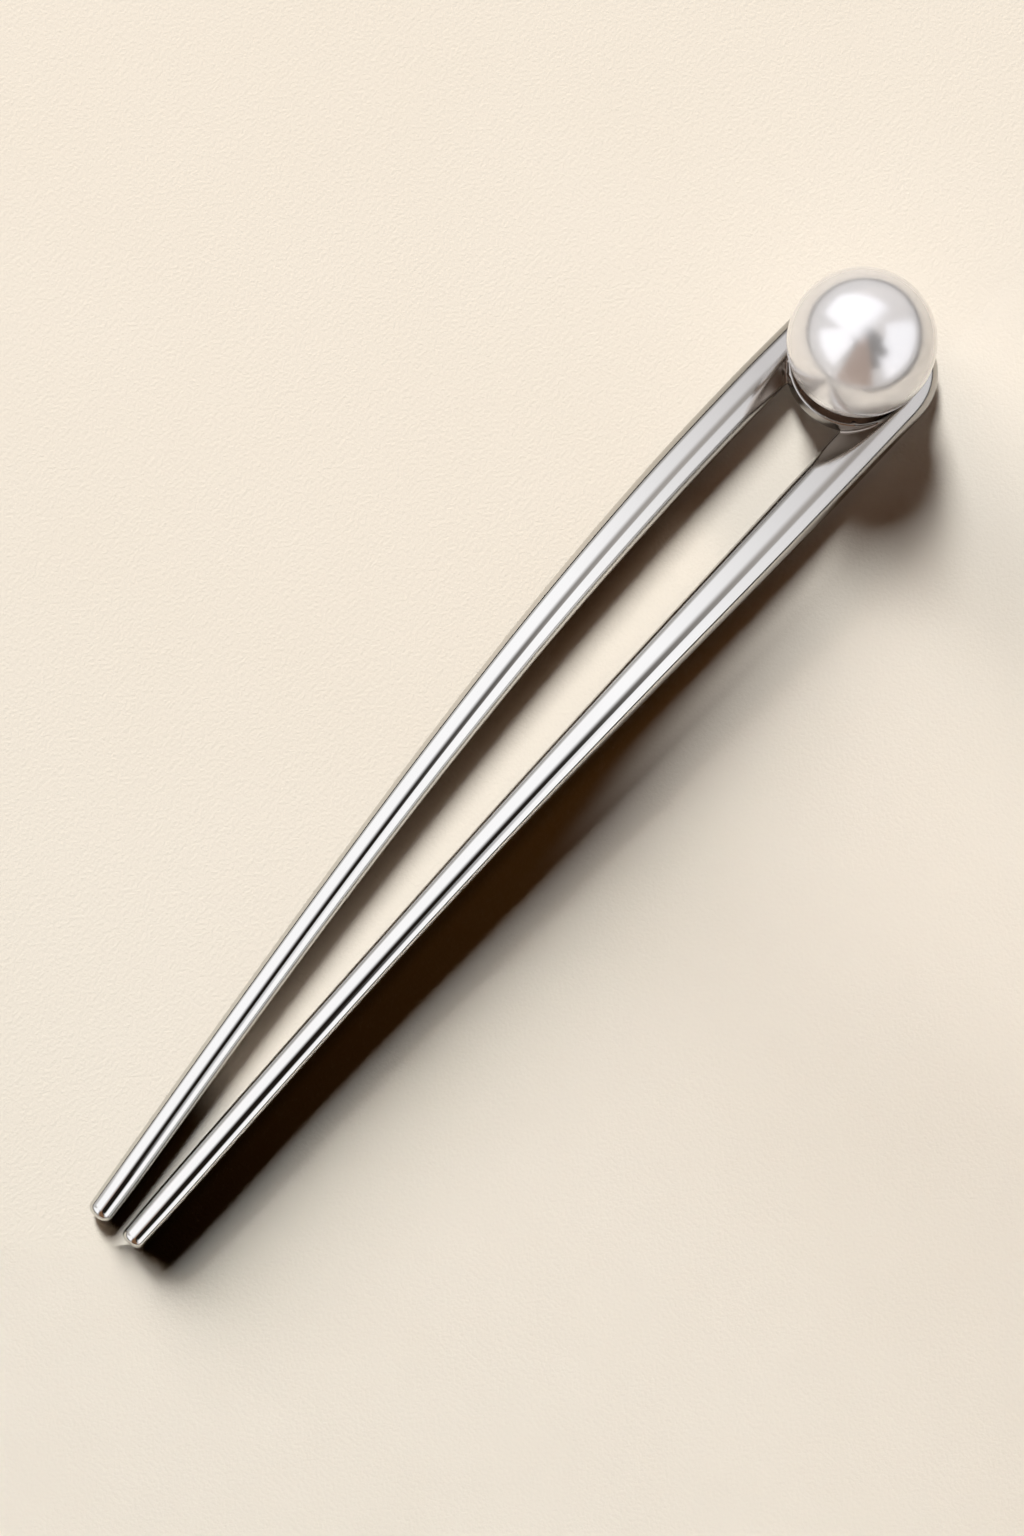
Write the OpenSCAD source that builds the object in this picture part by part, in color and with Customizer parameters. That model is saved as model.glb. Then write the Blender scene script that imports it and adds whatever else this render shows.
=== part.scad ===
// U-shaped hairpin: a polished fork of two tapering prongs, with a shallow seat dish soldered
// in its bend and one large round pearl glued over the seat.
// Lengths are in millimetres. The pin lies as it does on a table: +X runs from the tips to the bend,
// +Y is towards the left prong and +Z is up. The origin is on the table, in the middle of the
// rectangle that the pin covers.

/* [Pearl] */
// Diameter of the pearl
pearl_d = 14; // [13:0.5:15]
// Height of the pearl's centre over the middle of the bend's metal
pearl_rise = 8; // [7.9:0.05:8.4]

/* [Fork] */
// Length of the prongs, from their tips to the start of the bend
prong_l = 107; // [99:8:123]
// Length of the bend, along the middle of its metal
bend_l = 5; // [4.8:0.1:5.6]
// Exponent of the bend's outline: 2 is an ellipse, and more is squarer
bend_square = 2.5; // [2.1:0.1:2.6]
// Height of the arch under the prongs, seen from the side
arch = 0.4; // [0.3:0.1:1.5]
// Length of the rounded end of each prong
tip_l = 0.9; // [0.5:0.1:1.5]

/* [Scoop] */
// Radius of the hollow that is carved into the bend for the pearl
scoop_r = 8.2; // [8.05:0.05:8.4]
// Half of the length of the hollow's egg shape towards the tips
scoop_l = 22; // [18:1:26]
// Height of the hollow's centre over the middle of the bend's metal
scoop_rise = 7.8; // [7.76:0.02:7.82]
// How far the hollow's centre lies towards the right prong
scoop_side = 0.5; // [0.2:0.1:0.5]

/* [Seat dish] */
// Outer radius of the dish
dish_r = 6.5; // [6.44:0.02:6.54]
// Thickness of the dish's wall
dish_wall = 0.4; // [0.3:0.05:0.7]
// Height of the dish's lip over the middle of the bend's metal
dish_lip = 1.7; // [1.5:0.05:1.8]
// Height of the dish from its flat underside to its lip
dish_h = 1.75; // [1.6:0.05:1.9]
// Thickness of the dish's floor
dish_floor = 0.9; // [0.6:0.05:0.95]
// Radius of the rounded edge under the dish
dish_round = 0.35; // [0.35:0.05:0.8]

/* [Peg] */
// Diameter of the peg that holds the pearl
peg_d = 1.4; // [1:0.1:2]
// Depth of the peg inside the pearl
peg_in = 5; // [3:0.5:6]
// Gap between the peg and the wall of the pearl's hole
peg_gap = 0.08; // [0.05:0.01:0.15]

/* [Hidden] */

// The prongs' stations, from the bend to the tips. SHARE is the share of prong_l, SWAY is how far the
// middle line between the prongs lies to the left, HALF is half of the spacing of the prongs' middles,
// LEFT_W and RIGHT_W are the prongs' widths and THICK is their height.
SHARE = 0;
SWAY = 1;
HALF = 2;
LEFT_W = 3;
RIGHT_W = 4;
THICK = 5;
STATIONS = [
    // SHARE, SWAY,  HALF, LEFT_W, RIGHT_W, THICK
    [0.00,   -0.15,  5.60, 4.20,   4.50,    4.00],
    [0.08,    0.40,  5.65, 4.20,   4.65,    4.00],
    [0.20,    0.95,  5.60, 4.10,   4.40,    3.90],
    [0.35,    1.35,  5.20, 3.75,   3.90,    3.60],
    [0.50,    1.40,  4.55, 3.35,   3.40,    3.25],
    [0.65,    1.15,  3.80, 3.00,   3.00,    2.95],
    [0.80,    0.70,  3.00, 2.80,   2.80,    2.75],
    [0.95,    0.10,  2.20, 2.65,   2.60,    2.60],
    [1.00,   -0.05,  1.95, 2.45,   2.30,    2.35]];

SIDES = 32;         // corners of a prong's section
PRONG_RINGS = 24;   // rings along each prong
BEND_RINGS = 18;    // rings round the bend
TIP_RINGS = 5;      // rings of each rounded end
TIP_BLUNT = 0.8;    // exponent of the rounded end: 1 is an ellipse, and less is blunter
SCOOP_SLICES = 40;  // slices of the hollow
SCOOP_FN = 108;     // corners of each slice
SLICE = 0.01;       // thickness of a slice
ROUND_FN = 96;      // corners of the dish, the peg and the pearl

last = len(STATIONS) - 1;
bend_r = STATIONS[0][HALF];
bend_mid_z = STATIONS[0][THICK] / 2;
pearl_z = bend_mid_z + pearl_rise;
dish_floor_z = bend_mid_z + dish_lip - dish_h + dish_floor;

// A column's slope at a station, from its neighbours
function slope(i, c) =
    let (a = max(i - 1, 0), b = min(i + 1, last))
    (STATIONS[b][c] - STATIONS[a][c]) / (STATIONS[b][SHARE] - STATIONS[a][SHARE]);

// The row of the table that a share of the length lies in
function row_of(s, i = 0) = i >= last - 1 || s < STATIONS[i + 1][SHARE] ? i : row_of(s, i + 1);

// A column at a share of the length, on a smooth curve through the stations
function at(s, c) =
    let (i = row_of(s),
         gap = STATIONS[i + 1][SHARE] - STATIONS[i][SHARE],
         t = (s - STATIONS[i][SHARE]) / gap,
         a = STATIONS[i][c],
         b = STATIONS[i + 1][c],
         rise = b - a,
         in = slope(i, c) * gap - rise,
         out = rise - slope(i + 1, c) * gap)
    a + t * rise + t * (1 - t) * (in * (1 - t) + out * t);

// Direction from the middle line to the left prong, as an angle
function left_turn(s) =
    let (d = 0.01, a = max(s - d, 0), b = min(s + d, 1))
    90 - atan((at(b, SWAY) - at(a, SWAY)) / ((b - a) * prong_l));

function dir(angle) = [cos(angle), sin(angle)];

// A ring of the sweep: [middle, outward direction, width, height, height of its underside]
function prong_ring(s, side) =
    let (out = side * dir(left_turn(s)),
         mid = [-s * prong_l, at(s, SWAY)] + at(s, HALF) * out,
         width = at(s, side > 0 ? LEFT_W : RIGHT_W))
    [mid, out, width, at(s, THICK), arch * pow(sin(180 * s), 2)];

// The rounded end's rings shrink about the prong's middle line
function tip_ring(k, side) =
    let (turn = 90 * k / (TIP_RINGS + 0.5),
         shrink = pow(cos(turn), TIP_BLUNT),
         start = prong_ring(1 - tip_l / prong_l, side),
         ahead = prong_ring(1 - (1 - pow(sin(turn), TIP_BLUNT)) * tip_l / prong_l, side))
    [ahead[0], start[1], start[2] * shrink, start[3] * shrink, start[4] + start[3] * (1 - shrink) / 2];

// The bend is a half turn from the left prong to the right one, a little squarer than an ellipse
function bend_ring(share) =
    let (ahead = dir(left_turn(0) - 90),
         left = dir(left_turn(0)),
         s = sin(180 * share),
         c = cos(180 * share),
         p = 2 / bend_square,
         mid = bend_l * pow(s, p) * ahead + bend_r * sign(c) * pow(abs(c), p) * left,
         out = pow(s, 2 - p) / bend_l * ahead + sign(c) * pow(abs(c), 2 - p) / bend_r * left,
         width = STATIONS[0][LEFT_W] * (1 - share) + STATIONS[0][RIGHT_W] * share)
    [[0, STATIONS[0][SWAY]] + mid, out / norm(out), width, STATIONS[0][THICK], 0];

shaft_end = 1 - tip_l / prong_l;
rings = [
    for (k = [TIP_RINGS:-1:1]) tip_ring(k, 1),
    for (k = [PRONG_RINGS:-1:1]) prong_ring(shaft_end * k / PRONG_RINGS, 1),
    for (k = [0:BEND_RINGS]) bend_ring(k / BEND_RINGS),
    for (k = [1:PRONG_RINGS]) prong_ring(shaft_end * k / PRONG_RINGS, -1),
    for (k = [1:TIP_RINGS]) tip_ring(k, -1)];

// The middle of the rectangle that the fork covers, which sets the origin
edge_x = [for (r = rings) r[0].x + r[1].x * r[2] / 2];
edge_y = [for (r = rings) r[0].y + r[1].y * r[2] / 2];
middle = [(max(edge_x) - prong_l) / 2, (max(edge_y) + min(edge_y)) / 2];

function ring_points(r) = [
    for (k = [0:SIDES - 1])
        let (a = 360 * k / SIDES, p = r[0] + r[1] * r[2] / 2 * cos(a))
        [p.x, p.y, r[4] + r[3] / 2 * (1 + sin(a))]];

// A closed tube through the rings, with flat ends
module sweep(rings) {
    n = len(rings);
    points = [for (r = rings) each ring_points(r)];
    walls = [
        for (i = [0:n - 2], k = [0:SIDES - 1])
            let (a = i * SIDES + k, b = i * SIDES + (k + 1) % SIDES)
            each [[a, b + SIDES, b], [a, a + SIDES, b + SIDES]]];
    first_end = [for (k = [0:SIDES - 1]) k];
    last_end = [for (k = [SIDES - 1:-1:0]) (n - 1) * SIDES + k];
    polyhedron(points, concat(walls, [first_end, last_end]));
}

// One slice across the hollow. The angle runs from -90 at the end over the prongs to 90 past the bend
module scoop_slice(angle) {
    translate([(angle < 0 ? scoop_l : scoop_r) * sin(angle), 0, 0])
        rotate([0, 90, 0])
            rotate(180 / SCOOP_FN)
                cylinder(r = scoop_r * cos(angle), h = SLICE, $fn = SCOOP_FN);
}

// The hollow for the pearl: round on the bend's side, and an egg's long half on the prongs' side
module scoop() {
    step = 180 / SCOOP_SLICES;
    translate([0, -scoop_side, bend_mid_z + scoop_rise])
        rotate(left_turn(0) - 90)
            for (k = [0:SCOOP_SLICES - 2])
                hull() {
                    scoop_slice((k + 0.5) * step - 90);
                    scoop_slice((k + 1.5) * step - 90);
                }
}

// The shallow dish under the pearl, with a rounded lower edge
module dish() {
    bottom = bend_mid_z + dish_lip - dish_h;
    lip = bend_mid_z + dish_lip;
    edge = [for (a = [-90:15:0]) [dish_r - dish_round, bottom + dish_round] + dish_round * dir(a)];
    inner = dish_r - dish_wall;
    bowl = [[dish_r, lip], [inner, lip], [inner, dish_floor_z], [0, dish_floor_z]];
    rotate_extrude($fn = ROUND_FN) polygon(concat([[0, bottom]], edge, bowl));
}

// The peg, or the hole for it where a gap is given
module peg(gap) {
    sink = 0.4;
    start = dish_floor_z - sink;
    end = pearl_z - pearl_d / 2 + peg_in + gap;
    translate([0, 0, start]) cylinder(d = peg_d + 2 * gap, h = end - start, $fn = ROUND_FN);
}

// The fork with its dish and peg soldered on, which makes them one piece of metal
module fork() {
    color("silver") translate([-middle.x, -middle.y, 0]) {
        difference() {
            sweep(rings);
            scoop();
        }
        dish();
        peg(0);
    }
}

// The pearl, drilled from below for the peg
module pearl() {
    color("ivory") translate([-middle.x, -middle.y, 0])
        difference() {
            translate([0, 0, pearl_z]) sphere(d = pearl_d, $fn = ROUND_FN);
            peg(peg_gap);
        }
}

fork();
pearl();
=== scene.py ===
import math
import bpy
import numpy as np
from mathutils import Matrix, Vector


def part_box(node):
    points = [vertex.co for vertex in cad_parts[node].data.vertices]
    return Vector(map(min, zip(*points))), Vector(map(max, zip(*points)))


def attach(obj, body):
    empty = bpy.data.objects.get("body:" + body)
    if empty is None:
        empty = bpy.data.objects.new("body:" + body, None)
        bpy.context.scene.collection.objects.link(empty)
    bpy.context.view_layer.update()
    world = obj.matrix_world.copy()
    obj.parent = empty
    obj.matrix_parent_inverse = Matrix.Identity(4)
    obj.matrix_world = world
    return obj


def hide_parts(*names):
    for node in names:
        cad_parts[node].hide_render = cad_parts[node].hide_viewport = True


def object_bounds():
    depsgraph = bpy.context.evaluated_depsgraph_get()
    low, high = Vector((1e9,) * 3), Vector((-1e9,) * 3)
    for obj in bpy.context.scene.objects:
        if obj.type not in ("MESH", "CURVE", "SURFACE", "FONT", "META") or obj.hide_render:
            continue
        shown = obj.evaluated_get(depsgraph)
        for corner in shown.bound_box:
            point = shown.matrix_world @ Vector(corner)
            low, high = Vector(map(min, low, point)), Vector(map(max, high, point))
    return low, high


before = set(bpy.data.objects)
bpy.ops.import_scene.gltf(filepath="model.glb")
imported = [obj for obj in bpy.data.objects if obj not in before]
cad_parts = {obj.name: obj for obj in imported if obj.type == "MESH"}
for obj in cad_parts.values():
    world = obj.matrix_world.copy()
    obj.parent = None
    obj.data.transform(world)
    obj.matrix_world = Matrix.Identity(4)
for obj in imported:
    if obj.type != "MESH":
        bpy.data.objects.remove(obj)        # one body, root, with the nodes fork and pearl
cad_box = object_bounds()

# The hairpin is worked out in millimetres from the middle of its bend, where the pearl sits.
# +X runs towards the bend, +Y towards the left prong and +Z up from the table.
MM = 0.001
pearl_low, pearl_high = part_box("pearl")
SEAT_X = (pearl_low.x + pearl_high.x) / 2 / MM
SEAT_Y = (pearl_low.y + pearl_high.y) / 2 / MM
PEARL_R = 7.0
PEARL_Z = pearl_high.z / MM - PEARL_R

# The fork: its prongs, its bend and its rounded tips
PRONG_L = 107.0
BEND_L = 5.0
BEND_SQUARE = 2.5
ARCH = 0.4
TIP_L = 0.9
TIP_BLUNT = 0.8
TURN_STEP = 0.01        # share of the length over which a prong's direction is measured
SHARE, SWAY, HALF, LEFT_W, RIGHT_W, THICK = range(6)
STATIONS = np.array([
    # SHARE, SWAY,  HALF, LEFT_W, RIGHT_W, THICK
    [0.00,   -0.15,  5.60, 4.20,   4.50,    4.00],
    [0.08,    0.40,  5.65, 4.20,   4.65,    4.00],
    [0.20,    0.95,  5.60, 4.10,   4.40,    3.90],
    [0.35,    1.35,  5.20, 3.75,   3.90,    3.60],
    [0.50,    1.40,  4.55, 3.35,   3.40,    3.25],
    [0.65,    1.15,  3.80, 3.00,   3.00,    2.95],
    [0.80,    0.70,  3.00, 2.80,   2.80,    2.75],
    [0.95,    0.10,  2.20, 2.65,   2.60,    2.60],
    [1.00,   -0.05,  1.95, 2.45,   2.30,    2.35]])

# The hollows carved into the bend: one on each side, egg-shaped towards the tips. A row holds how far
# the hollow's centre lies towards the left, its height, its radius, half of its length and its turn
LEFT_HOLLOW = np.array([-0.54, 7.65, 6.81, 26.6, math.radians(-2.7)])
RIGHT_HOLLOW = np.array([0.33, 9.32, 8.52, 22.2, math.radians(-6.4)])
HOLLOW_BLEND = 3.0      # half of the strip in the bend's middle where one hollow turns into the other

# The seat dish and the peg
DISH_R = 6.55
DISH_WALL = 0.3
DISH_LOW = 1.95
DISH_WIDEST = 2.6       # height at which the dish is widest, and its wall starts to lean in
DISH_LIP = 3.7
DISH_LEAN = 0.2         # how far the wall leans in up to the lip
DISH_FLOOR = 2.85
DISH_ROUND = 0.35
BOWL_H = 4.0            # height over the lip of the space that is cut from the dish
BOWL_ROUND = 0.1
LIP_ROUND = 0.13
PEG_R = 0.7
PEG_SINK = 0.5          # height over the dish's underside at which the peg starts
PEG_TOP = 8.0
PEG_FOOT_ROUND = 0.05
PEG_END_ROUND = 0.2
PEG_GAP = 0.08
HOLE_CHAMFER = 0.06

# Small beads of solder where the dish's lip meets the prongs: place, radius
SOLDER_BEADS = (((-4.75, -3.75, 3.35), 0.3), ((-4.95, 3.95, 3.3), 0.25))

SOLDER = 0.3            # width of the soldered fillets
EDGE = 0.14             # width of the hollows' rounded edges
SATIN_AND_SHADE_REACH = 0.15      # how near the hollows the metal turns satin and takes painted brown shade
DISH_SHADE_FADE = 0.25        # width of the strip in which the dish's inside turns to painted dark shade under the pearl
CELL = 0.115            # size of the cells that the head's mesh is made from
RELAX_TURNS = 5         # turns of evening out the head's mesh
PULLS = 3               # moves back onto the true surface in each turn
HEAD_X = -12.5          # where the head's mesh ends and the plain prongs start
HEAD_LOW = np.array([HEAD_X, -9.2, -0.4])
HEAD_HIGH = np.array([8.0, 9.4, PEG_TOP + 0.5])
FIRST_RING = 0.8        # distance from the head's mesh to the first ring of a prong
RING_SIDES = 72
RING_STEP = 0.9
TIP_RINGS = 10
PEARL_ROWS = 110
PEARL_SIDES = 200
TINY = 1e-9


def slope(c):
    """A column's slope at each station, from its neighbours."""
    n = len(STATIONS)
    low = np.maximum(np.arange(n) - 1, 0)
    high = np.minimum(np.arange(n) + 1, n - 1)
    return (STATIONS[high, c] - STATIONS[low, c]) / (STATIONS[high, SHARE] - STATIONS[low, SHARE])


def at(s, c):
    """A column at shares s of the length, on a smooth curve through the stations."""
    shares, values, rises = STATIONS[:, SHARE], STATIONS[:, c], slope(c)
    i = np.clip(np.searchsorted(shares, s, side="right") - 1, 0, len(STATIONS) - 2)
    gap = shares[i + 1] - shares[i]
    t = (s - shares[i]) / gap
    rise = values[i + 1] - values[i]
    start = rises[i] * gap - rise
    end = rise - rises[i + 1] * gap
    return values[i] + t * rise + t * (1 - t) * (start * (1 - t) + end * t)


def left_turn(s):
    """Direction from the middle line to the left prong, as an angle."""
    low, high = np.maximum(s - TURN_STEP, 0), np.minimum(s + TURN_STEP, 1)
    return math.pi / 2 - np.arctan((at(high, SWAY) - at(low, SWAY)) / ((high - low) * PRONG_L))


# Columns of a section of the sweep: middle, outward direction, half width, half height, underside
MID_X, MID_Y, OUT_X, OUT_Y, HALF_W, HALF_H, UNDER = range(7)


def prong_sections(s, side):
    """Sections of a prong at shares s of its length. side is 1 for the left prong and -1 for the right."""
    turn = left_turn(s)
    out = side * np.stack([np.cos(turn), np.sin(turn)], 1)
    mid = np.stack([-s * PRONG_L, at(s, SWAY)], 1) + at(s, HALF)[:, None] * out
    width = at(s, LEFT_W if side > 0 else RIGHT_W)
    under = ARCH * np.sin(math.pi * s) ** 2
    return np.column_stack([mid, out, width / 2, at(s, THICK) / 2, under])


def bend_sections(share):
    """Sections of the bend: a half turn from left to right, a little squarer than an ellipse."""
    turn = left_turn(np.zeros(1))[0]
    left = np.array([math.cos(turn), math.sin(turn)])
    ahead = np.array([left[1], -left[0]])
    s, c = np.sin(math.pi * share)[:, None], np.cos(math.pi * share)[:, None]
    p = 2 / BEND_SQUARE
    half = STATIONS[0, HALF]
    mid = BEND_L * s ** p * ahead + half * np.sign(c) * np.abs(c) ** p * left
    out = s ** (2 - p) / BEND_L * ahead + np.sign(c) * np.abs(c) ** (2 - p) / half * left
    out /= np.linalg.norm(out, axis=1, keepdims=True)
    width = STATIONS[0, LEFT_W] * (1 - share) + STATIONS[0, RIGHT_W] * share
    half_h = np.full(len(share), STATIONS[0, THICK] / 2)
    return np.column_stack([mid + [0, STATIONS[0, SWAY]], out, width / 2, half_h, np.zeros(len(share))])


def even_sections(step, spare=6):
    """The head's sections from the left prong round the bend to the right, and some to spare, step apart."""
    reach = np.linspace(0, (spare - HEAD_X) / PRONG_L, 600)
    share = np.linspace(0, 1, 1201)
    fine = np.concatenate([
        prong_sections(reach[::-1], 1), bend_sections(share)[1:-1], prong_sections(reach, -1)])
    gone = np.concatenate([[0], np.cumsum(np.linalg.norm(np.diff(fine[:, :2], axis=0), axis=1))])
    even = np.linspace(0, gone[-1], int(gone[-1] / step) + 1)
    rows = np.column_stack([np.interp(even, gone, column) for column in fine.T])
    rows[:, OUT_X:OUT_Y + 1] /= np.linalg.norm(rows[:, OUT_X:OUT_Y + 1], axis=1, keepdims=True)
    return rows


SECTION_STEP = 0.1      # distance between two sections of the head
SECTIONS = even_sections(SECTION_STEP)


def section_at(u):
    """The section at place u, counted in sections, on a smooth curve through them."""
    i = np.clip(u.astype(int), 1, len(SECTIONS) - 3)
    f = (u - i)[:, None]
    a, b, c, d = (SECTIONS[i + k] for k in (-1, 0, 1, 2))
    return b + 0.5 * f * (c - a + f * (2 * a - 5 * b + 4 * c - d + f * (3 * (b - c) + d - a)))


def past(x, y, row):
    """How far a point lies past a section, along the sweep."""
    return (x - row[:, MID_X]) * row[:, OUT_Y] - (y - row[:, MID_Y]) * row[:, OUT_X]


def nearest(x, y, batch=20000):
    """The nearest section to each point of the plan."""
    found = np.empty(len(x))
    for low in range(0, len(x), batch):
        part = slice(low, low + batch)
        away = (x[part, None] - SECTIONS[:, MID_X]) ** 2 + (y[part, None] - SECTIONS[:, MID_Y]) ** 2
        found[part] = away.argmin(1)
    return found


def foot(x, y, u, steps=3, reach=0.5, least=1e-4, most=5):
    """The place on the sweep that is square to each point of the plan, found by steps from near u."""
    for _ in range(steps):
        here, ahead = past(x, y, section_at(u)), past(x, y, section_at(u + reach))
        change = np.where(np.abs(here - ahead) > least, here - ahead, least)
        u = np.clip(u + np.clip(reach * here / change, -most, most), 1, len(SECTIONS) - 3)
    return u


def plan_of(x, y, u):
    """Where points of the plan lie on the sweep: distance across it, half width, half height, underside."""
    row = section_at(u)
    across = (x - row[:, MID_X]) * row[:, OUT_X] + (y - row[:, MID_Y]) * row[:, OUT_Y]
    return across, row[:, HALF_W], row[:, HALF_H], row[:, UNDER]


def oval(parts, radii):
    """Roughly the distance from an ellipse or ellipsoid, from the parts of a point along its axes."""
    q = np.sqrt(sum((p / r) ** 2 for p, r in zip(parts, radii))) + TINY
    steep = np.sqrt(sum((p / r ** 2) ** 2 for p, r in zip(parts, radii))) / q + TINY
    return (q - 1) / steep


def join(a, b, width):
    """Two solids as one, with a fillet of the given width."""
    near = np.maximum(width - np.abs(a - b), 0) / width
    return np.minimum(a, b) - near ** 2 * width / 4


def cut(a, b, width):
    """Solid a with b carved out of it, with rounded edges."""
    return -join(-a, b, width)


def drum(away, z, radius, low, high, low_round, high_round):
    """Distance from a round solid about the pearl's axis, with rounded edges."""
    middle = (low + high) / 2
    corner = np.where(z < middle, low_round, high_round)
    out = away - radius + corner
    over = np.abs(z - middle) - (high - low) / 2 + corner
    outside = np.hypot(np.maximum(out, 0), np.maximum(over, 0))
    return outside + np.minimum(np.maximum(out, over), 0) - corner


def hollow_space(x, y, z):
    """Roughly the distance from the space that the hollows leave, and less than 0 in it."""
    share = np.clip((y + HOLLOW_BLEND) / (2 * HOLLOW_BLEND), 0, 1)
    share = share * share * (3 - 2 * share)
    side, height, radius, length, turn = (
        r + (l - r) * share for l, r in zip(LEFT_HOLLOW, RIGHT_HOLLOW))
    along = x * np.cos(turn) + (y - side) * np.sin(turn)
    over = (y - side) * np.cos(turn) - x * np.sin(turn)
    return oval((along, over, z - height), (np.where(along < 0, length, radius), radius, radius))


def fork_head(x, y, z, plan):
    """Roughly the distance in millimetres from the fork's head, and less than 0 in its metal."""
    across, half_w, half_h, under = plan
    metal = cut(oval((across, z - under - half_h), (half_w, half_h)), hollow_space(x, y, z), EDGE)
    away = np.hypot(x, y)
    wall = math.hypot(DISH_LIP - DISH_WIDEST, DISH_LEAN)
    leaning = ((away - DISH_R) * (DISH_LIP - DISH_WIDEST) + (z - DISH_WIDEST) * DISH_LEAN) / wall
    dish = cut(drum(away, z, DISH_R, DISH_LOW, DISH_LIP, DISH_ROUND, LIP_ROUND), -leaning, LIP_ROUND)
    bowl = cut(drum(away, z, DISH_R - DISH_WALL, DISH_FLOOR, DISH_LIP + BOWL_H, DISH_ROUND, BOWL_ROUND),
               -leaning - DISH_WALL, BOWL_ROUND)
    metal = join(metal, cut(dish, bowl, LIP_ROUND), SOLDER)
    for place, radius in SOLDER_BEADS:
        bead = np.sqrt((x - place[0]) ** 2 + (y - place[1]) ** 2 + (z - place[2]) ** 2) - radius
        metal = join(metal, bead, SOLDER)
    peg = drum(away, z, PEG_R, DISH_LOW + PEG_SINK, PEG_TOP, PEG_FOOT_ROUND, PEG_END_ROUND)
    return join(metal, peg, SOLDER)


def surface_nets(values, low, cell):
    """The surface where values are 0 on a grid: one point in each cell that it passes, and its faces."""
    inside = values < 0
    shape = np.array(values.shape)
    total = np.zeros(tuple(shape - 1) + (3,))
    count = np.zeros(shape - 1)
    edges = []
    for axis in range(3):
        near = [slice(None)] * 3
        far = [slice(None)] * 3
        near[axis], far[axis] = slice(0, -1), slice(1, None)
        a, b = values[tuple(near)], values[tuple(far)]
        i = np.argwhere((a < 0) != (b < 0))
        va, vb = a[tuple(i.T)], b[tuple(i.T)]
        place = i.astype(float)
        place[:, axis] += va / (va - vb)
        edges.append((axis, i, va < 0))
        for d1 in (0, 1):
            for d2 in (0, 1):
                c = i.copy()
                c[:, (axis + 1) % 3] -= d1
                c[:, (axis + 2) % 3] -= d2
                ok = ((c >= 0) & (c < shape - 1)).all(1)
                np.add.at(total, tuple(c[ok].T), place[ok])
                np.add.at(count, tuple(c[ok].T), 1)
    used = count > 0
    number = np.full(count.shape, -1)
    number[used] = np.arange(used.sum())
    points = low + cell * total[used] / count[used][:, None]
    faces = []
    for axis, i, solid_first in edges:
        b, c = (axis + 1) % 3, (axis + 2) % 3
        ok = (i[:, b] > 0) & (i[:, c] > 0) & (i[:, b] < shape[b] - 1) & (i[:, c] < shape[c] - 1)
        i, solid_first = i[ok], solid_first[ok]
        corners = []
        for db, dc in ((1, 1), (0, 1), (0, 0), (1, 0)):
            k = i.copy()
            k[:, b] -= db
            k[:, c] -= dc
            corners.append(number[tuple(k.T)])
        quads = np.stack(corners, 1)
        quads[~solid_first] = quads[~solid_first, ::-1]
        faces.append(quads)
    return points, np.concatenate(faces)


def head_slope(points, u, step=0.004):
    """The direction in which the distance from the head grows, by small steps."""
    x, y, z = points.T
    plan = plan_of(x, y, u)
    grown = []
    for dx, dy in ((step, 0), (0, step)):
        more = fork_head(x + dx, y + dy, z, plan_of(x + dx, y + dy, foot(x + dx, y + dy, u, 1)))
        less = fork_head(x - dx, y - dy, z, plan_of(x - dx, y - dy, foot(x - dx, y - dy, u, 1)))
        grown.append((more - less) / (2 * step))
    grown.append((fork_head(x, y, z + step, plan) - fork_head(x, y, z - step, plan)) / (2 * step))
    return np.stack(grown, 1)


def head_mesh():
    """Points, faces and normals of the fork's head, and the points of its open rims at HEAD_X."""
    size = np.ceil((HEAD_HIGH - HEAD_LOW) / CELL).astype(int) + 1
    xs, ys, zs = (HEAD_LOW[k] + CELL * np.arange(size[k]) for k in range(3))
    x, y = (g.ravel() for g in np.meshgrid(xs, ys, indexing="ij"))
    plan = [column[:, None] for column in plan_of(x, y, foot(x, y, nearest(x, y)))]
    values = fork_head(x[:, None], y[:, None], zs[None, :], plan).reshape(size)
    points, faces = surface_nets(values, HEAD_LOW, CELL)

    # Edges that only one face uses are the open rims, which stay in one plane
    sides = np.concatenate([faces[:, [k, (k + 1) % 4]] for k in range(4)])
    keys = np.sort(sides, 1)
    order = np.lexsort(keys.T)
    same = (keys[order][1:] == keys[order][:-1]).all(1)
    alone = np.ones(len(order), bool)
    alone[1:] &= ~same
    alone[:-1] &= ~same
    rim = np.unique(sides[order[alone]])

    # Each turn evens the points out, and then moves them back onto the true surface
    count = np.bincount(sides.ravel(), minlength=len(points))[:, None]
    u = nearest(points[:, 0], points[:, 1])
    for turn in range(RELAX_TURNS + 1):
        if turn < RELAX_TURNS:
            mean = np.stack([
                np.bincount(sides[:, 0], points[sides[:, 1], k], len(points))
                + np.bincount(sides[:, 1], points[sides[:, 0], k], len(points)) for k in range(3)], 1)
            move = 0.5 * (mean / count - points)
            move[rim] = 0
            points = points + move
        points[rim, 0] = HEAD_X
        u = foot(*points[:, :2].T, u)
        grow = head_slope(points, u)
        grow[rim, 0] = 0
        grow /= (grow ** 2).sum(1, keepdims=True)
        for _ in range(PULLS):
            off = fork_head(*points.T, plan_of(*points[:, :2].T, foot(*points[:, :2].T, u, 1)))
            points = points - np.clip(off[:, None] * grow, -CELL, CELL)
    normals = head_slope(points, foot(*points[:, :2].T, u))
    normals /= np.linalg.norm(normals, axis=1, keepdims=True)
    return points, faces, normals, rim


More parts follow.
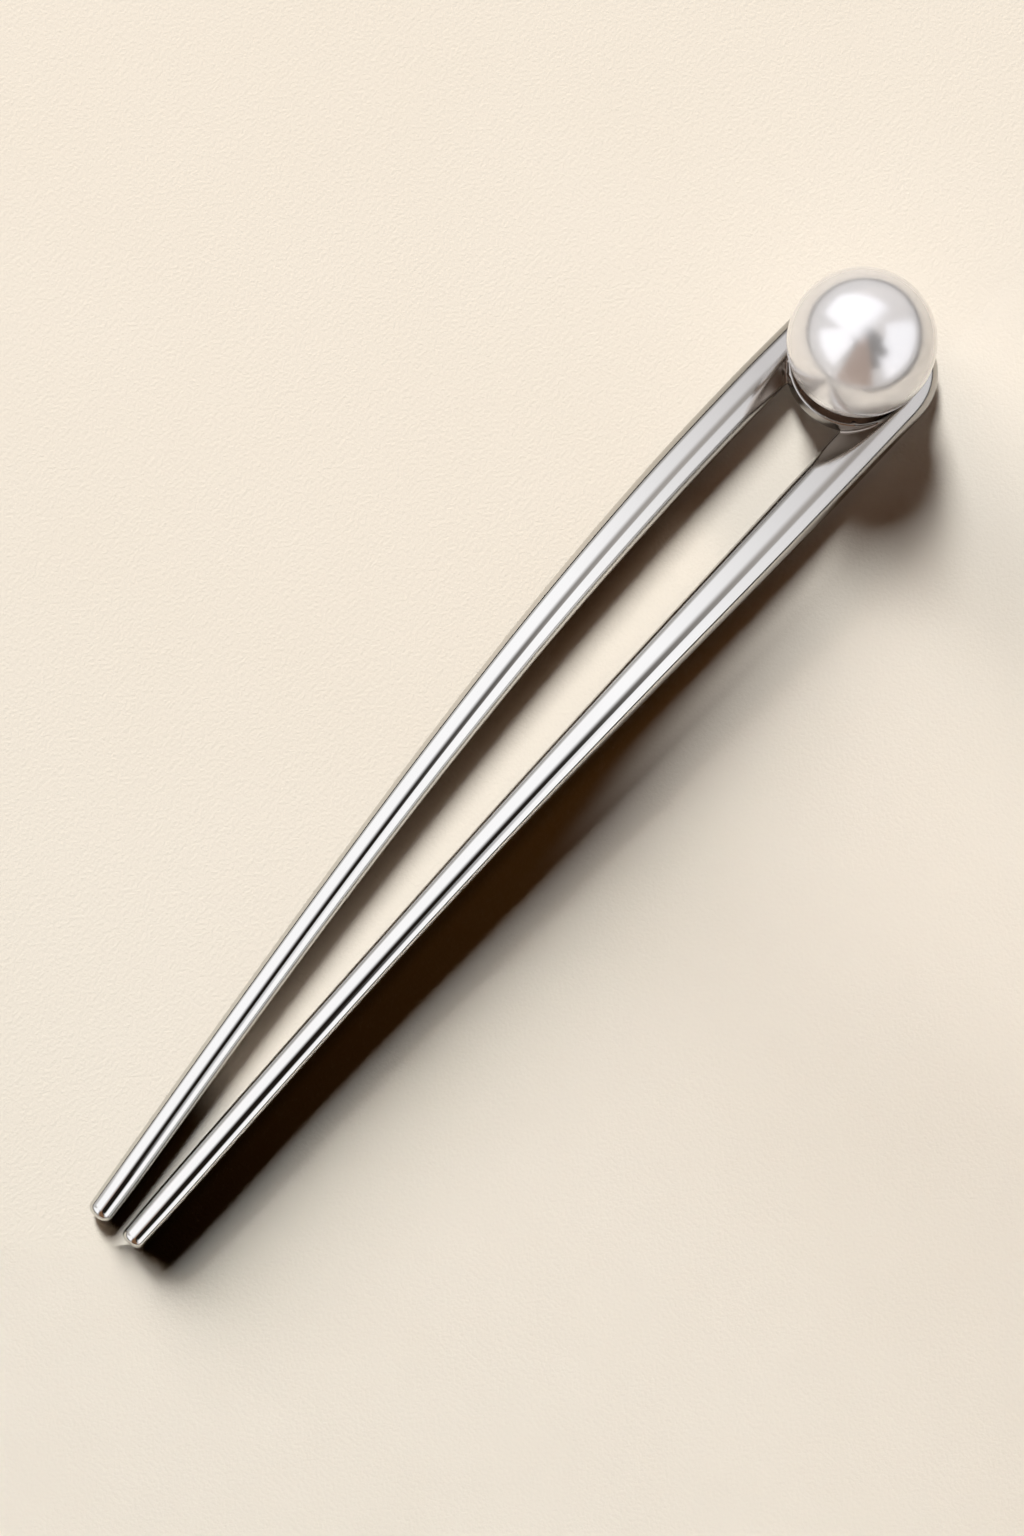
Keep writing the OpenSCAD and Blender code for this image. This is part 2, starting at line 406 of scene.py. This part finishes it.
def satin_and_shade_of(points):
    """For each point, how satin its metal is in the hollows, where brown shade is also painted, and how dark
    the painted shade inside the dish is.
    """
    x, y, z = np.asarray(points).T
    head = x > HEAD_X
    satin = np.clip(1 - np.abs(hollow_space(x, y, z)) / SATIN_AND_SHADE_REACH, 0, 1) * head
    lean = DISH_LEAN * np.clip((z - DISH_WIDEST) / (DISH_LIP - DISH_WIDEST), 0, 1)
    inside = (DISH_R - lean - DISH_WALL / 2 - np.hypot(x, y)) / DISH_SHADE_FADE
    return satin, np.clip(inside, 0, 1) * (z > DISH_LOW) * head


def ring_points(row, angles):
    """The points of a section at the given angles, from its outer side over its top."""
    reach = row[HALF_W] * np.cos(angles)
    x = row[MID_X] + row[OUT_X] * reach
    y = row[MID_Y] + row[OUT_Y] * reach
    return np.column_stack([x, y, row[UNDER] + row[HALF_H] * (1 + np.sin(angles))])


def tip_section(turn, side):
    """A section of the rounded end. turn runs from 0 at its start to a right angle at its very end."""
    shrink = np.cos(turn) ** TIP_BLUNT
    start = prong_sections(np.array([1 - TIP_L / PRONG_L]), side)[0]
    ahead = prong_sections(np.array([1 - (1 - np.sin(turn) ** TIP_BLUNT) * TIP_L / PRONG_L]), side)[0]
    ahead[HALF_W] = start[HALF_W] * shrink
    ahead[HALF_H] = start[HALF_H] * shrink
    ahead[UNDER] = start[UNDER] + start[HALF_H] * (1 - shrink)
    ahead[OUT_X:OUT_Y + 1] = start[OUT_X:OUT_Y + 1]
    return ahead


def prong_section(k, side):
    """A section by its place k: up to 1 along the prong, and from 1 to 2 round its tip."""
    if k <= 1:
        return prong_sections(np.array([k * (1 - TIP_L / PRONG_L)]), side)[0]
    return tip_section((k - 1) * math.pi / 2, side)


def prong_mesh(side, step=1e-4):
    """Points and normals of a prong from behind the head to its tip, ring after ring."""
    first = (FIRST_RING - HEAD_X) / PRONG_L
    count = int((1 - first) * PRONG_L / RING_STEP)
    places = list(np.linspace(first, 1, count)) + [1 + k / TIP_RINGS for k in range(1, TIP_RINGS)]
    angles = np.linspace(0, 2 * math.pi, RING_SIDES, endpoint=False)
    points, normals = [], []
    for k in places:
        here = prong_section(k, side)
        # The tip's rings start at 1 with another slope, so the ring there looks back alone
        ahead = 0 if abs(k - 1) < TINY else step
        after = ring_points(prong_section(k + ahead, side), angles)
        before = ring_points(prong_section(k - step, side), angles)
        turn = ring_points(here, angles + step) - ring_points(here, angles - step)
        normal = -side * np.cross(turn, after - before)
        points.append(ring_points(here, angles))
        normals.append(normal / np.linalg.norm(normal, axis=1, keepdims=True))
    end = prong_section(2 - TINY, side)
    points.append(np.array([[end[MID_X], end[MID_Y], end[UNDER] + end[HALF_H]]]))
    normals.append(np.array([[-1.0, 0, 0]]))
    return points, normals


def zip_rings(a, a_angles, b, b_angles):
    """Triangles between two closed rings of points, walked round together by their angles."""
    faces = []
    i = j = 0
    while i < len(a) or j < len(b):
        next_a = a_angles[i + 1] if i + 1 < len(a) else a_angles[0] + 2 * math.pi
        next_b = b_angles[j + 1] if j + 1 < len(b) else b_angles[0] + 2 * math.pi
        if j >= len(b) or (i < len(a) and next_a <= next_b):
            faces.append((a[i % len(a)], a[(i + 1) % len(a)], b[j % len(b)]))
            i += 1
        else:
            faces.append((a[i % len(a)], b[(j + 1) % len(b)], b[j % len(b)]))
            j += 1
    return faces


def new_object(name, data):
    """A new object in the scene."""
    made = bpy.data.objects.new(name, data)
    bpy.context.collection.objects.link(made)
    return made


def new_mesh(name, points, faces, material):
    """A new object from the points and faces of its mesh."""
    mesh = bpy.data.meshes.new(name)
    mesh.from_pydata(points, [], faces)
    mesh.materials.append(material)
    return new_object(name, mesh)


def new_piece(name, points, faces, normals, node, slot, material):
    """A smooth piece in place of a node, from points in millimetres."""
    place = (np.asarray(points) + [SEAT_X, SEAT_Y, 0]) * MM
    piece = new_mesh(name, place.tolist(), [tuple(int(v) for v in f) for f in faces], material)
    piece.data.shade_smooth()
    piece.data.normals_split_custom_set_from_vertices([tuple(n) for n in normals])
    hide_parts(node)
    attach(piece, "root")
    return piece


def fork_mesh():
    """The whole fork: the head's free mesh, and plain rings along both prongs."""
    points, faces, normals, rim = head_mesh()
    points, normals = list(points), list(normals)
    faces = [tuple(f) for f in faces]
    for side in (1, -1):
        rings, ring_normals = prong_mesh(side)
        loop = [v for v in rim if points[v][1] * side > 0]
        x, y = np.array([points[v][0] for v in loop]), np.array([points[v][1] for v in loop])
        across, half_w, half_h, under = plan_of(x, y, foot(x, y, nearest(x, y)))
        z = np.array([points[v][2] for v in loop])
        angle = np.arctan2((z - under - half_h) / half_h, across / half_w) % (2 * math.pi)
        order = np.argsort(angle)
        last, last_angles = [loop[k] for k in order], angle[order]
        flip = -1 if side > 0 else 1
        for ring, normal in zip(rings, ring_normals):
            fresh = list(range(len(points), len(points) + len(ring)))
            points.extend(ring)
            normals.extend(normal)
            angles = np.linspace(0, 2 * math.pi, len(ring), endpoint=False)
            if len(ring) == 1:
                made = [(last[k], last[(k + 1) % len(last)], fresh[0]) for k in range(len(last))]
            elif len(last) == len(fresh):
                n = len(last)
                made = [(last[k], last[(k + 1) % n], fresh[(k + 1) % n], fresh[k]) for k in range(n)]
            else:
                made = zip_rings(last, last_angles, fresh, angles)
            faces.extend(f[::flip] for f in made)
            last, last_angles = fresh, angles
    return points, faces, normals


def pearl_mesh():
    """The pearl with the hole that its peg fills, turned about its axis."""
    hole = PEG_R + PEG_GAP
    depth = PEG_TOP + PEG_GAP - PEARL_Z
    mouth = math.asin(hole / PEARL_R)
    start = mouth + HOLE_CHAMFER / PEARL_R
    outline = [(0.0, depth), (hole, depth), (hole, -PEARL_R * math.cos(mouth) + HOLE_CHAMFER)]
    facing = [(0, -1), (-0.7, -0.7), (-1, 0)]
    for k in range(PEARL_ROWS + 1):
        a = start + (math.pi - start) * k / PEARL_ROWS
        outline.append((PEARL_R * math.sin(a), -PEARL_R * math.cos(a)))
        facing.append((math.sin(a), -math.cos(a)))
    sides = PEARL_SIDES
    points, normals, rings = [], [], []
    for (r, z), (nr, nz) in zip(outline, facing):
        if r < TINY:
            rings.append([len(points)])
            points.append((0, 0, PEARL_Z + z))
            normals.append((0, 0, math.copysign(1, nz)))
            continue
        rings.append(list(range(len(points), len(points) + sides)))
        for k in range(sides):
            c, s = math.cos(2 * math.pi * k / sides), math.sin(2 * math.pi * k / sides)
            points.append((r * c, r * s, PEARL_Z + z))
            normals.append((nr * c, nr * s, nz))
    faces = []
    for a, b in zip(rings, rings[1:]):
        for k in range(sides):
            j = (k + 1) % sides
            if len(a) == 1:
                faces.append((a[0], b[j], b[k]))
            elif len(b) == 1:
                faces.append((a[k], a[j], b[0]))
            else:
                faces.append((a[k], a[j], b[j], b[k]))
    return points, faces, normals


class Nodes:
    """Short calls for building a material's nodes."""

    def __init__(self, name):
        self.material = bpy.data.materials.new(name)
        self.material.use_nodes = True
        self.tree = self.material.node_tree
        self.tree.nodes.clear()
        self.out = self.tree.nodes.new("ShaderNodeOutputMaterial")
        self.shader = self.add("ShaderNodeBsdfPrincipled")
        self.tree.links.new(self.shader.outputs[0], self.out.inputs["Surface"])
        self.place = self.add("ShaderNodeTexCoord").outputs["Object"]

    def add(self, kind, links=(), **values):
        node = self.tree.nodes.new(kind)
        for key, value in values.items():
            setattr(node, key, value)
        for key, value in dict(links).items():
            if isinstance(value, bpy.types.NodeSocket):
                self.tree.links.new(value, node.inputs[key])
            else:
                node.inputs[key].default_value = value
        return node

    def noise(self, stretch, scale, detail=3, rough=0.5):
        """Noise over the object, with stretch along each axis."""
        mapping = self.add("ShaderNodeMapping", {"Vector": self.place, "Scale": stretch})
        links = {"Vector": mapping.outputs[0], "Scale": scale, "Detail": detail, "Roughness": rough}
        return self.add("ShaderNodeTexNoise", links).outputs["Fac"]

    def ramp(self, value, low, high, to_low, to_high):
        """A value between low and high, spread evenly from to_low to to_high."""
        links = {"Value": value, "From Min": low, "From Max": high, "To Min": to_low, "To Max": to_high}
        return self.add("ShaderNodeMapRange", links).outputs[0]

    def math(self, operation, a, b):
        return self.add("ShaderNodeMath", {0: a, 1: b}, operation=operation).outputs[0]

    def along_pin(self, low, high, to_low=0, to_high=1):
        """The place along X, spread evenly from to_low at low to to_high at high, in millimetres."""
        along = self.add("ShaderNodeSeparateXYZ", {0: self.place}).outputs["X"]
        return self.ramp(along, low * MM, high * MM, to_low, to_high)

    def bump(self, height, distance, strength):
        links = {"Height": height, "Distance": distance, "Strength": strength}
        return self.add("ShaderNodeBump", links).outputs[0]

    def mix(self, share, a, b):
        node = self.add("ShaderNodeMix", data_type="RGBA")
        self.tree.links.new(share, node.inputs[0])
        for socket, colour in ((node.inputs[6], a), (node.inputs[7], b)):
            if isinstance(colour, bpy.types.NodeSocket):
                self.tree.links.new(colour, socket)
            else:
                socket.default_value = (*colour, 1)
        return node.outputs[2]

    def set(self, **values):
        for key, value in values.items():
            socket = self.shader.inputs[key.replace("_", " ")]
            if isinstance(value, bpy.types.NodeSocket):
                self.tree.links.new(value, socket)
            else:
                socket.default_value = value


SOFTEN_AND_DARKEN_FROM = 34          # distance from the pearl at which the metal starts to soften and darken towards it
SOFTEN_AND_DARKEN_TO = 6             # and at which it is softest and darkest


def polished_metal():
    """Polished silver-tone metal with faint scratches along it, softer and darker near the pearl, softer and
    painted brown as shade in the hollows, and painted near black as shade inside the dish.
    """
    n = Nodes("silver_tone")
    wear = n.noise((1, 3, 3), 160, detail=3)
    # satin roughens the hollows and also paints brown shade in them; dark paints shade inside the dish
    satin = n.add("ShaderNodeAttribute", attribute_name="satin").outputs["Fac"]
    dark = n.add("ShaderNodeAttribute", attribute_name="dark").outputs["Fac"]
    near = (SEAT_X - SOFTEN_AND_DARKEN_FROM, SEAT_X - SOFTEN_AND_DARKEN_TO)
    rough = n.ramp(wear, 0.3, 0.7, 0.045, 0.075)
    rough = n.math("ADD", rough, n.along_pin(*near, 0, 0.1))
    rough = n.math("ADD", rough, n.ramp(satin, 0, 1, 0, 0.12))
    bright = n.mix(wear, (0.63, 0.622, 0.605), (0.68, 0.674, 0.655))
    # The colour darkens towards the pearl, where the gloss also softens
    soft = n.mix(n.along_pin(*near), bright, (0.41, 0.395, 0.38))
    # Painted shade: the hollows under the pearl are painted brown
    hollow_shade = n.mix(n.ramp(satin, 0, 1, 0, 0.8), soft, (0.30, 0.245, 0.20))
    scratches = n.noise((1, 20, 20), 300, detail=2)
    # Painted shade: the inside of the dish, under the pearl, is painted near black
    n.set(Base_Color=n.mix(dark, hollow_shade, (0.085, 0.055, 0.04)),
          Metallic=1.0, Roughness=rough, Normal=n.bump(scratches, 0.000001, 0.08))
    return n.material


def nacre():
    """Pearl: a soft glow under a satin lustre, with a clear coat over it."""
    n = Nodes("pearl")
    cloud = n.noise((1, 1, 1), 220, detail=2)
    n.set(Base_Color=n.mix(cloud, (0.81, 0.79, 0.79), (0.85, 0.84, 0.85)),
          Metallic=0.6, Roughness=n.ramp(cloud, 0.3, 0.7, 0.2, 0.24),
          Coat_Weight=0.8, Coat_Roughness=0.1, Coat_IOR=1.5)
    return n.material


def floor_cream():
    """The plain cream floor, with a fine grain."""
    n = Nodes("floor")
    grain = n.noise((1, 1, 1), 2900, detail=3, rough=0.6)
    broad = n.noise((1, 1, 1), 25, detail=3)
    n.set(Base_Color=n.mix(broad, (0.89, 0.81, 0.70), (0.93, 0.857, 0.76)),
          Roughness=0.75, Specular_IOR_Level=0.0, Normal=n.bump(grain, 0.0001, 0.45))
    return n.material


fork_points, fork_faces, fork_normals = fork_mesh()
fork = new_piece("fork_piece", fork_points, fork_faces, fork_normals, "fork", "silver_tone", polished_metal())
# Two point attributes: satin, which roughens the hollows and paints brown shade in them, and dark, the
# painted shade inside the dish
for surface_mark, values in zip(("satin", "dark"), satin_and_shade_of(fork_points)):
    fork.data.attributes.new(surface_mark, "FLOAT", "POINT").data.foreach_set("value", values.astype(np.float32))
fork.visible_diffuse = False            # what the metal throws on the floor is a light of its own, below
pearl = new_piece("pearl_piece", *pearl_mesh(), "pearl", "pearl", nacre())

# The floor, in a near part that shows in the pin's gloss and a far part round it that doesn't
FLOOR = 3.0
NEAR = 0.08             # how far the near part reaches past the pin
SEAM_POINTS = 40
cream = floor_cream()


def stage_part(name, points, faces, material):
    """A part of the stage, from points in metres."""
    part = new_mesh(name, points, faces, material)
    return part


def floor_part(name, corners, faces):
    """A part of the floor, from the corners of its faces in metres."""
    return stage_part(name, [(x, y, 0) for x, y in corners], faces, cream)


def band(k):
    """The corners of one side of a band between an inner and an outer ring of four."""
    after = (k + 1) % 4
    return k, k + 4, after + 4, after


near_x, near_y = cad_box[1][0] + NEAR, cad_box[1][1] + NEAR
inner = [(-near_x, -near_y), (near_x, -near_y), (near_x, near_y), (-near_x, near_y)]
outer = [(-FLOOR, -FLOOR), (FLOOR, -FLOOR), (FLOOR, FLOOR), (-FLOOR, FLOOR)]

# The near part is in two halves, which meet under the right prong, so that each has lamps of its own
seam_share = np.linspace(1, 0, SEAM_POINTS)
seam_x = (SEAT_X - seam_share * PRONG_L) * MM
seam_y = (SEAT_Y + at(seam_share, SWAY) - at(seam_share, HALF)) * MM
seam = [(-near_x, near_y), *zip(seam_x, seam_y), (near_x, seam_y[-1])]
left_half = [*seam, (near_x, near_y)]
right_half = [*seam[::-1], (-near_x, -near_y), (near_x, -near_y)]
floor_left = floor_part("floor_left", left_half, [tuple(range(len(left_half)))])
floor_right = floor_part("floor_right", right_half, [tuple(range(len(right_half)))])
far_floor = floor_part("far_floor", inner + outer, [band(k) for k in range(4)])
far_floor.visible_glossy = False

# A low dark card stands round the near floor. Only gloss shows it, as a thin dark line at the horizon
CARD_H = 0.012
card_paint = Nodes("card")
card_paint.set(Base_Color=(0.01, 0.008, 0.007, 1), Roughness=1.0, Specular_IOR_Level=0.0)
card_points = [(x, y, z) for z in (0, CARD_H) for x, y in inner]
card = stage_part("card", card_points, [band(k)[::-1] for k in range(4)], card_paint.material)
card.visible_camera = False
card.visible_diffuse = False
card.visible_shadow = False

# The camera looks down at the pin from the tips' side, with the pin running up to the right
PICTURE_TURN = math.radians(49.73)      # from the picture's right to the pin's +X
CAMERA_TILT = math.radians(80.4)        # elevation above the table
CAMERA_AT = Vector((-42.35, -35.82, 324.41)) * MM
PICTURE_RIGHT = Vector((math.cos(PICTURE_TURN), -math.sin(PICTURE_TURN), 0))
PICTURE_AHEAD = Vector((math.sin(PICTURE_TURN), math.cos(PICTURE_TURN), 0))
SENSOR = 36
LENS = 82.03
look = PICTURE_AHEAD * math.cos(CAMERA_TILT) - Vector((0, 0, 1)) * math.sin(CAMERA_TILT)
picture_up = PICTURE_AHEAD * math.sin(CAMERA_TILT) + Vector((0, 0, 1)) * math.cos(CAMERA_TILT)
camera = new_object("camera", bpy.data.cameras.new("camera"))
camera.data.sensor_fit = "AUTO"
camera.data.sensor_width = SENSOR
camera.data.lens = LENS
camera.data.clip_start = 0.01
camera.matrix_world = Matrix.Translation(CAMERA_AT) @ Matrix(
    (PICTURE_RIGHT, picture_up, -look)).transposed().to_4x4()
bpy.context.scene.camera = camera
bpy.context.scene.view_settings.view_transform = "Standard"


def direction(azimuth, tilt):
    """The direction at an azimuth in the picture and a tilt from straight up, in degrees."""
    a, t = math.radians(azimuth), math.radians(tilt)
    level = PICTURE_RIGHT * math.cos(a) + PICTURE_AHEAD * math.sin(a)
    return level * math.sin(t) + Vector((0, 0, 1)) * math.cos(t)


class Sky:
    """The screens round the pin, as the gloss of its surfaces sees them."""

    def __init__(self, base):
        world = bpy.data.worlds.new("studio")
        bpy.context.scene.world = world
        world.use_nodes = True
        self.tree = world.node_tree
        self.background = self.tree.nodes["Background"]
        self.towards = self.tree.nodes.new("ShaderNodeTexCoord").outputs["Generated"]
        self.colour = self.tree.nodes.new("ShaderNodeRGB").outputs[0]
        self.colour.default_value = (*base, 1)
        world.cycles_visibility.diffuse = False

    def math(self, operation, a, b=0.0):
        node = self.tree.nodes.new("ShaderNodeMath")
        node.operation = operation
        for socket, value in zip(node.inputs, (a, b)):
            if isinstance(value, bpy.types.NodeSocket):
                self.tree.links.new(value, socket)
            else:
                socket.default_value = value
        return node.outputs[0]

    def along(self, axis):
        node = self.tree.nodes.new("ShaderNodeVectorMath")
        node.operation = "DOT_PRODUCT"
        self.tree.links.new(self.towards, node.inputs[0])
        node.inputs[1].default_value = axis
        return node.outputs["Value"]

    def inside(self, value, low, high, low_blur, high_blur):
        """1 where a value lies between low and high, fading to 0 past them."""
        shares = []
        for start, end in ((low - low_blur, low), (high + high_blur, high)):
            node = self.tree.nodes.new("ShaderNodeMapRange")
            node.interpolation_type = "SMOOTHSTEP"
            self.tree.links.new(value, node.inputs["Value"])
            node.inputs["From Min"].default_value = start
            node.inputs["From Max"].default_value = end
            shares.append(node.outputs[0])
        return self.math("MULTIPLY", *shares)

    def angle(self, a, b):
        """The angle from direction b towards direction a, in degrees."""
        return self.math("MULTIPLY", self.math("ARCTAN2", self.along(a), self.along(b)), 180 / math.pi)

    def paint(self, share, colour):
        mix = self.tree.nodes.new("ShaderNodeMix")
        mix.data_type = "RGBA"
        self.tree.links.new(share, mix.inputs[0])
        self.tree.links.new(self.colour, mix.inputs[6])
        mix.inputs[7].default_value = (*colour, 1)
        self.colour = mix.outputs[2]

    def zone(self, azimuth, spread, low, high, colour, blur):
        """A part of the sky: spread to either side of an azimuth, and from one tilt to another."""
        ahead, side = direction(azimuth, 90), direction(azimuth + 90, 90)
        level = self.inside(self.angle(side, ahead), -spread, spread, blur[0], blur[0])
        tilt = self.math("MULTIPLY", self.math("ARCCOSINE", self.along((0, 0, 1))), 180 / math.pi)
        self.paint(self.math("MULTIPLY", level, self.inside(tilt, low, high, blur[1], blur[2])), colour)

    def lean(self, azimuth):
        """How far a direction leans from straight up towards an azimuth, in degrees."""
        return self.angle(direction(azimuth, 90), Vector((0, 0, 1)))

    def roof(self, azimuth, climb, level, blur, colour):
        """A screen over the pin, from one lean to another towards an azimuth, and to the left of it."""
        up = self.inside(self.lean(azimuth), *climb, *blur)
        side = self.inside(self.lean(azimuth + 90), *level, SIDE_BLUR, SIDE_BLUR)
        self.paint(self.math("MULTIPLY", up, side), colour)

    def done(self, strength, backdrop):
        """Links the sky up. What the camera sees of it past the floor is a plain backdrop."""
        self.tree.links.new(self.colour, self.background.inputs["Color"])
        self.background.inputs["Strength"].default_value = strength
        plain = self.tree.nodes.new("ShaderNodeBackground")
        plain.inputs["Color"].default_value = (*backdrop, 1)
        mix = self.tree.nodes.new("ShaderNodeMixShader")
        path = self.tree.nodes.new("ShaderNodeLightPath")
        self.tree.links.new(path.outputs["Is Camera Ray"], mix.inputs[0])
        self.tree.links.new(self.background.outputs[0], mix.inputs[1])
        self.tree.links.new(plain.outputs[0], mix.inputs[2])
        self.tree.links.new(mix.outputs[0], self.tree.nodes["World Output"].inputs["Surface"])


WHITE = (1.0, 1.0, 1.03)
GREY = (0.5, 0.49, 0.48)
WARM_GREY = (0.6, 0.57, 0.55)
DARK = (0.012, 0.009, 0.007)
TAUPE = (0.19, 0.1, 0.055)
BACKDROP = (0.88, 0.79, 0.67)
RIM = (0.5, 0.485, 0.475)
HORIZON = 110           # lean at which the widest screen ends
SKY_STRENGTH = 1.45
SIDE_BLUR = 10
sky = Sky(DARK)
sky.zone(0, 200, 62, 180, RIM, (1, 6, 1))                       # all round the horizon
sky.zone(258, 20, 8, 84, TAUPE, (8, 6, 8))                      # behind the camera
sky.zone(140, 85, 40, 75, GREY, (15, 20, 3))                    # to the pin's left
sky.roof(50, (16, HORIZON), (-60, 60), (12, 3), WARM_GREY)      # past the pearl
sky.roof(140, (12, 66), (-48, 14), (26, 10), WHITE)             # over the pin's left side
sky.zone(196, 24, 26, 68, WHITE, (7, 8, 8))                     # at the picture's left
sky.zone(-20, 34, 33, 80, WHITE, (14, 4, 6))                    # at the picture's right
sky.roof(140, (-42, -30), (2, 12), (12, 4), DARK)               # a dark line in the prongs' right sides
sky.done(SKY_STRENGTH, BACKDROP)


LAMP_AWAY = 8.0
FLAG_Z = 25


def group(name, *things):
    """A collection of things, for a light to shine on or to be blocked by."""
    made = bpy.data.collections.new(name)
    for thing in things:
        made.objects.link(thing)
    return made


def only_for_light(thing):
    """Hides a thing from all but the light that it shades."""
    thing.visible_camera = False
    thing.visible_diffuse = False
    thing.visible_glossy = False
    thing.visible_transmission = False


def flag(name, clear, solid):
    """A wide flag over the pin that shades lamps, fading from clear to solid between two places along X."""
    n = Nodes(name)
    n.set(Base_Color=(0, 0, 0, 1), Specular_IOR_Level=0.0, Alpha=n.along_pin(clear, solid))
    made = stage_part(name, [(x, y, FLAG_Z * MM) for x, y in outer], [(0, 1, 2, 3)], n.material)
    only_for_light(made)
    return made


def area_light(name, wide, tall, energy, colour, lit, blockers):
    """A rectangle of light that no camera and no gloss sees."""
    light = bpy.data.lights.new(name, "AREA")
    light.shape = "RECTANGLE"
    light.size = wide
    light.size_y = tall
    light.energy = energy
    light.color = colour
    made = new_object(name, light)
    made.visible_camera = False
    made.visible_glossy = False
    made.light_linking.receiver_collection = lit
    made.light_linking.blocker_collection = blockers
    return made


def lamp(name, azimuth, tilt, wide, tall, level, colour, lit, blockers):
    """A lamp that faces the pin. wide and tall are angles in radians, as seen from the pin, and level is
    how brightly it lights the floor."""
    energy = level * (math.pi * LAMP_AWAY) ** 2 / math.cos(math.radians(tilt))
    made = area_light(name, wide * LAMP_AWAY, tall * LAMP_AWAY, energy, colour, lit, blockers)
    towards = direction(azimuth, tilt)
    made.location = towards * LAMP_AWAY
    made.rotation_mode = "QUATERNION"
    made.rotation_quaternion = towards.to_track_quat("Z", "Y")


# The head's flag fades the head's lamp out towards the tips, the tips' flag fades the tips' lamps out
# towards the head, and the fill's flag fades the fill out towards the tips
head_flag = flag("head_flag", 66, 16)
tips_flag = flag("tips_flag", 18, 68)
fill_flag = flag("fill_flag", 10, -60)
lit_left = group("lit_left", floor_left, far_floor)
lit_right = group("lit_right", floor_right)
lit_floor = group("lit_floor", floor_left, floor_right, far_floor)
lit_pearl = group("lit_pearl", pearl)
pin = group("pin", fork, pearl)
pin_and_head_flag = group("pin_and_head_flag", fork, pearl, head_flag)
pin_and_tips_flag = group("pin_and_tips_flag", fork, pearl, tips_flag)
pin_and_fill_flag = group("pin_and_fill_flag", fork, pearl, fill_flag)

# Each lamp's azimuth and tilt, width and height, level, colour, what it lights and what can block it.
# The photo's shadows are short at the pearl and long at the tips, so the tips have lower lamps
SUN = (0.99, 1.02, 1.025)
lamp("key", 108, 48, 0.2, 0.38, 0.845, SUN, lit_left, pin)
lamp("key_head", 101, 45, 0.2, 0.4, 0.845, SUN, lit_right, pin_and_head_flag)
lamp("key_tips", 121, 63, 0.2, 0.22, 0.31, SUN, lit_right, pin_and_tips_flag)
lamp("low_tips", 128, 75, 0.6, 0.28, 0.535, SUN, lit_right, pin_and_tips_flag)
lamp("broad", 132, 74, 0.9, 0.35, 0.165, (1, 0.8, 0.62), lit_floor, pin)
lamp("fill", 0, 0, 1.0, 1.0, 0.045, (1, 0.41, 0.1), lit_floor, pin_and_fill_flag)
lamp("front", 105, 40, 1.0, 1.0, 0.92, (1, 0.99, 0.985), lit_pearl, pin)
lamp("low", 245, 86, 1.2, 0.3, 0.063, (1, 0.95, 0.9), lit_pearl, pin)

# The prongs throw light into the gap between them, which a strip of light over the gap stands for
GLOW_L = 0.07
GLOW_W = 0.002
GLOW_MIDDLE = Vector((-56, -0.2, 10))
GLOW_SPREAD = 50
GLOW_ENERGY = 0.0002
glow = area_light("glow", GLOW_L, GLOW_W, GLOW_ENERGY, (1, 0.88, 0.75), lit_left, pin)
glow.data.spread = math.radians(GLOW_SPREAD)
glow.location = (Vector((SEAT_X, SEAT_Y, 0)) + GLOW_MIDDLE) * MM
